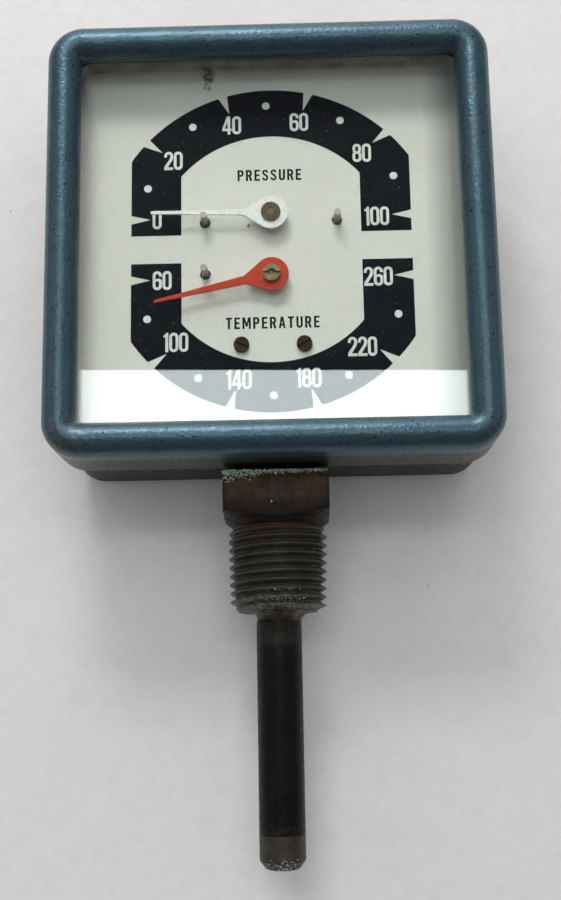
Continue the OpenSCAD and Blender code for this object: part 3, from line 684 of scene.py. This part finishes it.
def limited(value):
    """A value kept between 0 and 1."""
    return min(max(value, 0), 1)


WRENCH, WRENCH_H = 11.1, 9.6                        # half width and height of the block
WRENCH_CORNER, CORNER_RISE = 0.35, WRENCH_H / 30    # corner radius, and slope of the chamfer under it
NECK_HALF, NECK_FRONT, NECK_BACK = 8.5, 7.6, 10.5   # half width of the neck, and its front and back
NECK_TOP = DIAL_Z - 26.2                            # inside the case, behind the dial
RUNOUT, PITCH, DEEP = 1.5, 25.4 / 14, 1.15          # where the thread starts, its pitch and its depth
CREST, TAPER = 10.65, 1 / 32                        # radius at the shoulder, and its loss per millimetre
BLOCK_POINTS = 240


def square_r(a, half, corner):
    """Radius of a rounded square at an angle."""
    c, s = abs(math.cos(a)), abs(math.sin(a))
    r = half / max(c, s)
    k = half - corner
    if min(c, s) * r > k:
        b = k * (c + s)
        r = b + math.sqrt(max(0, b * b - 2 * k * k + corner * corner))
    return r


def neck_r(a):
    """Radius of the neck's rectangle at an angle."""
    c, s = math.cos(a), math.sin(a)
    reach = [NECK_HALF / abs(c)] if abs(c) > 1e-9 else []
    if s < -1e-9:
        reach.append(NECK_FRONT / -s)
    if s > 1e-9:
        reach.append(NECK_BACK / s)
    return min(reach)


def block_profile(a):
    """Radii and heights at an angle, from under the shoulder up to the neck's top."""
    outer, neck = square_r(a, WRENCH, WRENCH_CORNER), neck_r(a)
    chamfer = (outer - WRENCH) * CORNER_RISE
    root = CREST - DEEP - 0.1
    # The row at the root comes twice, which keeps its edge crisp.
    profile = [(6.0, -RUNOUT), (root, -RUNOUT)]
    profile += zip(steps(root, WRENCH - 0.12, 4), steps(-RUNOUT, -0.05, 4))
    profile += [(WRENCH - 0.02, 0.02), ((WRENCH + outer) / 2, chamfer / 2 + 0.02)]
    profile += [(outer - 0.06, chamfer + 0.03)]
    profile += [(outer, z) for z in steps(chamfer + 0.12, WRENCH_H - 0.38, 8)]
    profile += [(outer - 0.12, WRENCH_H - 0.1), (outer - 0.4, WRENCH_H)]
    profile += [((outer + neck) / 2, WRENCH_H)]
    profile += [(neck, z) for z in steps(WRENCH_H, NECK_TOP, 6)]
    return profile + [(1.0, NECK_TOP)]


def wrench_block():
    """The square block and its neck, with the block's surface dented a little."""
    columns = []
    for a in (TAU * i / BLOCK_POINTS for i in range(BLOCK_POINTS)):
        outwards = polar(1, a, 0)
        column = []
        for r, z in block_profile(a):
            p = polar(r, a, z)
            dent = lump(p, 2.4, 0.09) + lump(p, 0.8, 0.045) if z < WRENCH_H + 0.1 else 0
            column.append((p + outwards * (dent - 0.05)) * MM)
        columns.append(column)
    return rings(list(zip(*columns)))


verts, faces = wrench_block()
block = piece("wrench_block", verts, faces, BRONZE)
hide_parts("socket")

THREAD_PHASE = 0.62                 # of a turn
ROOT_FLAT, FLANK = 0.10, 0.76       # shares of half a pitch
PLAIN_END, CHAMFER = 0.35, 1.05     # lengths at the thread's lower end
END_R, DIP_R, DIP_DEPTH = 8.2, 4.6, 0.35    # the end face, and the dip in its middle


def thread():
    """A right-hand taper thread, as a radius over angle and length."""
    n, lengths = 192, 300
    end = -THREAD_END
    rows = []
    for z in steps(RUNOUT - 0.25, end, lengths):
        fade = limited((z - RUNOUT) / (0.9 * PITCH)) * limited((end - PLAIN_END - z) / 0.9)
        crest = CREST - TAPER * z
        cut = max(0, z - (end - CHAMFER)) * 0.75
        row = []
        for i in range(n):
            a = TAU * i / n
            turn = (z / PITCH - a / TAU + THREAD_PHASE) % 1.0
            rise = limited((1 - abs(2 * turn - 1) - ROOT_FLAT) / FLANK)
            worn = 1 + lump((3 * math.cos(a), 3 * math.sin(a), z * 0.6), 0.8, 0.10)
            height = DEEP * rise * worn * (0.35 + 0.65 * fade)
            r = min(crest - DEEP + height, crest + 0.02) - cut
            r += lump((r * math.cos(a), r * math.sin(a), z), 0.7, 0.035)
            row.append(polar(r, -a, -z) * MM)
        rows.append(row)
    rows += [ring(END_R, -end, n, -1), ring(DIP_R, DIP_DEPTH - end, n, -1)]
    return rings(rows)


verts, faces = thread()
shank = piece("taper_thread", verts, faces, THREAD)
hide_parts("socket")

FILLET_R, CORE_R = 4.7, 4.5     # just inside the bulb's surface, and well inside it


def braze():
    """An uneven fillet of braze round the bulb's top, fuller on the right."""
    n = 96
    rows = [ring(CORE_R, THREAD_END + 0.35, n)]
    for t in steps(0, 1, 12):
        row = []
        for i in range(n):
            a = TAU * i / n
            side = 0.5 + 0.5 * math.cos(a + 0.5)
            reach = 1.25 + 0.75 * side + lump((4 * math.cos(a), 4 * math.sin(a), t), 1.3, 0.55)
            drop = 1.5 + 0.9 * side + lump((4 * math.cos(a), 4 * math.sin(a), 5), 1.6, 0.8)
            r = FILLET_R + reach * (1 - t) ** 1.8
            z = THREAD_END + 0.3 - drop * t ** 0.8
            r += lump((r * math.cos(a), r * math.sin(a), z), 0.5, 0.08)
            row.append(polar(max(r, FILLET_R), a, z) * MM)
        rows.append(row)
    rows.append(ring(CORE_R, THREAD_END - 2.4, n))
    rows.reverse()
    verts, faces = rings(rows, False, False)
    last = (len(rows) - 1) * n
    faces += [(last + i, last + (i + 1) % n, (i + 1) % n, i) for i in range(n)]
    return verts, faces


verts, faces = braze()
fillet = piece("braze_fillet", verts, faces, BRAZE)
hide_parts("braze_collar")


# ---------- deposits ----------

def crumbs(name, material, places, seed):
    """Small rough grains, each a squashed octahedron split once.

    places gives the centre and the size of each, in millimetres.
    """
    rng = random.Random(seed)
    corners = [(1, 0, 0), (-1, 0, 0), (0, 1, 0), (0, -1, 0), (0, 0, 1), (0, 0, -1)]
    tris = [(0, 2, 4), (2, 1, 4), (1, 3, 4), (3, 0, 4), (2, 0, 5), (1, 2, 5), (3, 1, 5), (0, 3, 5)]
    ball, cut, mids = [Vector(c) for c in corners], [], {}
    for t in tris:
        mid = []
        for a, b in ((t[0], t[1]), (t[1], t[2]), (t[2], t[0])):
            key = (min(a, b), max(a, b))
            if key not in mids:
                mids[key] = len(ball)
                ball.append(((ball[a] + ball[b]) / 2).normalized())
            mid.append(mids[key])
        cut += [(t[0], mid[0], mid[2]), (t[1], mid[1], mid[0]), (t[2], mid[2], mid[1]), tuple(mid)]
    verts, faces = [], []
    for centre, size in places:
        first = len(verts)
        stretch = Vector([rng.uniform(0.6, 1.3) for _ in range(3)]) * size
        turn = Matrix.Rotation(rng.uniform(0, TAU), 3, Vector([rng.uniform(-1, 1) for _ in range(3)]))
        for p in ball:
            q = turn @ Vector([p[k] * stretch[k] for k in range(3)]) * rng.uniform(0.75, 1.15)
            verts.append((Vector(centre) + q) * MM)
        faces += [tuple(first + i for i in t) for t in cut]
    return piece(name, verts, faces, material, smooth=False)


TIP_CHAMFER = 1.8
BULB_R = 4.74                                       # just inside the bulb's surface
CRUSTED_LENGTHS = (14.9, 15.1, 16.8, 17.0, 18.5)    # down the thread, in its grooves
BRIGHT_GRAIN = (-0.9, 2.9)                          # a single one on the block's front


def block_grains(rng):
    """Along the block's upper front edge, thicker to the left, and down its left corner."""
    grains = []
    for _ in range(900):
        x = rng.uniform(-11, 10.9)
        thick = 0.35 + 0.65 * max(0, (6 - x) / 17)
        if rng.random() > thick + 0.25:
            continue
        y = -WRENCH + rng.uniform(-0.02, 0.1)
        z = WRENCH_H - abs(rng.gauss(0, 0.55 * thick + 0.15))
        grains.append(((x, y, z), rng.uniform(0.07, 0.2) * (0.7 + 0.6 * thick)))
    for _ in range(60):
        x = rng.uniform(-10.9, -8.6)
        z = WRENCH_H - rng.uniform(0.2, 2.6)
        grains.append(((x, -WRENCH, z), rng.uniform(0.06, 0.2)))
    return grains + [((BRIGHT_GRAIN[0], -WRENCH, BRIGHT_GRAIN[1]), 0.24)]


def tip_grains(rng):
    """On the front of the bulb's end and its chamfer."""
    grains = []
    for _ in range(90):
        a = math.radians(rng.gauss(-80, 22))
        z = TIP_Z + abs(rng.gauss(0.9, 0.7))
        r = BULB_R - max(0, TIP_Z + TIP_CHAMFER - z) * 0.75
        grains.append((tuple(polar(r, a, z)), rng.uniform(0.05, 0.2)))
    return grains


def thread_grains(rng):
    """In the last turns of the thread, at the front."""
    grains = []
    for _ in range(120):
        a = math.radians(rng.gauss(-88, 24))
        z = -rng.choice(CRUSTED_LENGTHS) + rng.gauss(0, 0.12)
        grains.append((tuple(polar(CREST + TAPER * z - 0.12, a, z)), rng.uniform(0.04, 0.12)))
    return grains


def glass_grains(rng):
    """Along the glass's left and lower edges, mostly near the corner between them."""
    grains = []
    for k in range(420):
        along, off = abs(rng.gauss(0, 12)) - OPENING, abs(rng.gauss(0, 0.5)) - OPENING
        x, w = (along, off) if k % 3 else (off, along)
        grains.append(((x, -GLASS_FRONT, DIAL_Z + w), rng.uniform(0.04, 0.11)))
    return grains


FLAKE_Y = -DIAL_FACE - 0.12
flakes = [((-4.9, FLAKE_Y, DIAL_Z + 4.9), 0.3), ((-4.7, FLAKE_Y, DIAL_Z + 5.3), 0.24)]
rng = random.Random(7)
crumbs("verdigris_crust", VERDIGRIS, block_grains(rng), 11)
crumbs("tip_crust", CHALK, tip_grains(rng), 12)
crumbs("thread_crust", CHALK, thread_grains(rng), 13)
crumbs("glass_grime", LIME, glass_grains(rng), 14)
crumbs("loose_flake", FLAKE, flakes, 15)


# ---------- Bourdon tubes ------------------------------------------

BOURDON_R = 34                          # radius of the tubes' centre line
TUBE_HALF, TUBE_STRETCH = 1.6, 1.9      # flat section: end radius, and half the straight stretch
TUBE_STEPS, TUBE_POINTS = 120, 32


def bourdon(name, node, depth, start_deg, end_deg):
    """A flattened tube bent round the dial's centre, at a depth from the thread's axis."""
    rows = []
    for turn in steps(start_deg, end_deg, TUBE_STEPS):
        a = math.radians(turn)
        row = []
        for b in (TAU * i / TUBE_POINTS for i in range(TUBE_POINTS)):
            r = BOURDON_R + TUBE_HALF * math.cos(b)
            across = TUBE_HALF * math.sin(b)
            across += math.copysign(TUBE_STRETCH, across)
            row.append(face(r * math.cos(a), r * math.sin(a), depth + across))
        rows.append(row)
    tube = skin(name, *rings(rows), COPPER)
    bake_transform(tube)
    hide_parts(node)


bourdon("pressure_bourdon", "pressure_tube", -5.5, 4, 262.3)
bourdon("temperature_bourdon", "temperature_tube", 5, -82.3, 193)


# ---------- stage and lights ----------

def paper():
    """Pale, slightly marked paper that is clear from behind and casts no shadow."""
    t = Look("paper")
    tone = t.mix(t.noise(0.012, 0.3, 0.7), (0.64, 0.625, 0.62), (0.68, 0.665, 0.66))
    tone = t.mix(t.noise(0.35, 0.45, 0.8, (0, 0.18)), tone, (0.48, 0.46, 0.45))
    tone = t.mix(t.times(t.specks(0.06, 0.03, 0.3), 0.5), tone, (0.2, 0.18, 0.16))
    t.bump(t.noise(0.10, detail=6), 0.35, 1.2)
    t.done(tone, 0.8)
    behind = t.add("ShaderNodeNewGeometry").outputs["Backfacing"]
    t.see_through(t.math("MAXIMUM", behind, t.add("ShaderNodeLightPath").outputs["Is Shadow Ray"]))
    return t.material


SPAN = 900
BACKDROP_Y = REST_Y + 0.1
corners = [(-SPAN, -SPAN), (SPAN, -SPAN), (SPAN, SPAN), (-SPAN, SPAN)]
backdrop = skin("backdrop", [Vector((x, BACKDROP_Y, z)) * MM for x, z in corners], [(0, 1, 2, 3)], paper(),
                smooth=False)


def panel(name, centre, toward, up_hint, width, height, radiance, colour=(1, 1, 1), glossy=True):
    """A rectangular lamp whose energy follows its area, so that its size doesn't change its brightness.

    With glossy False nothing mirrors it, and it doesn't show through the glass.
    """
    data = bpy.data.lights.new(name, "AREA")
    data.shape = "RECTANGLE"
    data.size, data.size_y = width * MM, height * MM
    data.energy = radiance * math.pi * data.size * data.size_y
    data.color = colour
    lamp = bpy.data.objects.new(name, data)
    z = (Vector(centre) - Vector(toward)).normalized()
    x = Vector(up_hint).cross(z).normalized()
    y = z.cross(x)
    lamp.matrix_world = Matrix.Translation(Vector(centre) * MM) @ Matrix((x, y, z)).transposed().to_4x4()
    lamp.visible_camera = False
    lamp.visible_glossy = lamp.visible_transmission = glossy
    bpy.context.scene.collection.objects.link(lamp)
    return lamp


GLASS_Y, LAMP_Y = -GLASS_FRONT, -900.0
BAND_LEFT, BAND_RIGHT = (-39.15, -28.05), (39.82, -29.82)   # ends of the mirrored band's upper edge
BAND_H, OVERHANG = 85, 1.5                                  # its lamp's height, and length past those ends


def mirrored(x, w):
    """Where the camera's view of a point on the glass, mirrored there, meets the lamp's plane."""
    at = Vector((x, GLASS_Y, w + DIAL_Z))
    d = at - CAM_AT
    return at + Vector((d.x, -d.y, d.z)) * ((LAMP_Y - GLASS_Y) / -d.y)


left_end, right_end = mirrored(*BAND_LEFT), mirrored(*BAND_RIGHT)
along = (right_end - left_end).normalized()
down = Vector((0, 1, 0)).cross(along).normalized()
middle = (left_end + right_end) / 2 + down * BAND_H / 2
panel("window_lamp", middle, middle + Vector((0, 1, 0)), -down, (right_end - left_end).length * OVERHANG,
      BAND_H, 7.0, (0.90, 1.0, 1.02))
panel("key", (-90, -470, 520), (0, 0, 40), (0, 0, 1), 200, 120, 22, (1.0, 0.985, 0.96))
panel("top_softbox", (-40, -250, 640), (0, 0, 30), (0, 1, 0), 700, 500, 1.35, (1.0, 0.99, 0.97))
panel("fill_left", (-560, -380, 120), (0, 0, 20), (0, 0, 1), 420, 520, 0.4, (0.97, 0.985, 1.0))
panel("fill_right", (560, -380, 120), (0, 0, 20), (0, 0, 1), 420, 520, 0.3, (0.97, 0.985, 1.0))
panel("front_fill", (0, -800, 160), (0, 0, 40), (0, 0, 1), 600, 600, 1.62, (1.0, 0.99, 0.975), False)
panel("back_fill", (0, 500, 260), (0, 0, 30), (0, 0, 1), 600, 420, 3.2, (1, 1, 1), False)

world = bpy.data.worlds.new("studio")
bpy.context.scene.world = world
world.use_nodes = True
nodes, links = world.node_tree.nodes, world.node_tree.links


def background(node, colour, strength):
    """Sets a background node's colour and strength."""
    node.inputs["Color"].default_value = (*colour, 1)
    node.inputs["Strength"].default_value = strength
    return node


# One strength for soft light, a lower one for what shines, and a plain grey for the camera.
shade = background(nodes["Background"], (0.97, 0.98, 1.0), 0.37)
path = nodes.new("ShaderNodeLightPath")
for seen_by, colour, strength in (("Is Glossy Ray", (0.95, 0.97, 1.0), 0.045),
                                  ("Is Camera Ray", (0.62, 0.61, 0.60), 1.0)):
    other = background(nodes.new("ShaderNodeBackground"), colour, strength)
    pick = nodes.new("ShaderNodeMixShader")
    links.new(path.outputs[seen_by], pick.inputs[0])
    links.new(shade.outputs[0], pick.inputs[1])
    links.new(other.outputs[0], pick.inputs[2])
    shade = pick
links.new(shade.outputs[0], nodes["World Output"].inputs["Surface"])

bpy.context.scene.view_settings.view_transform = "Standard"
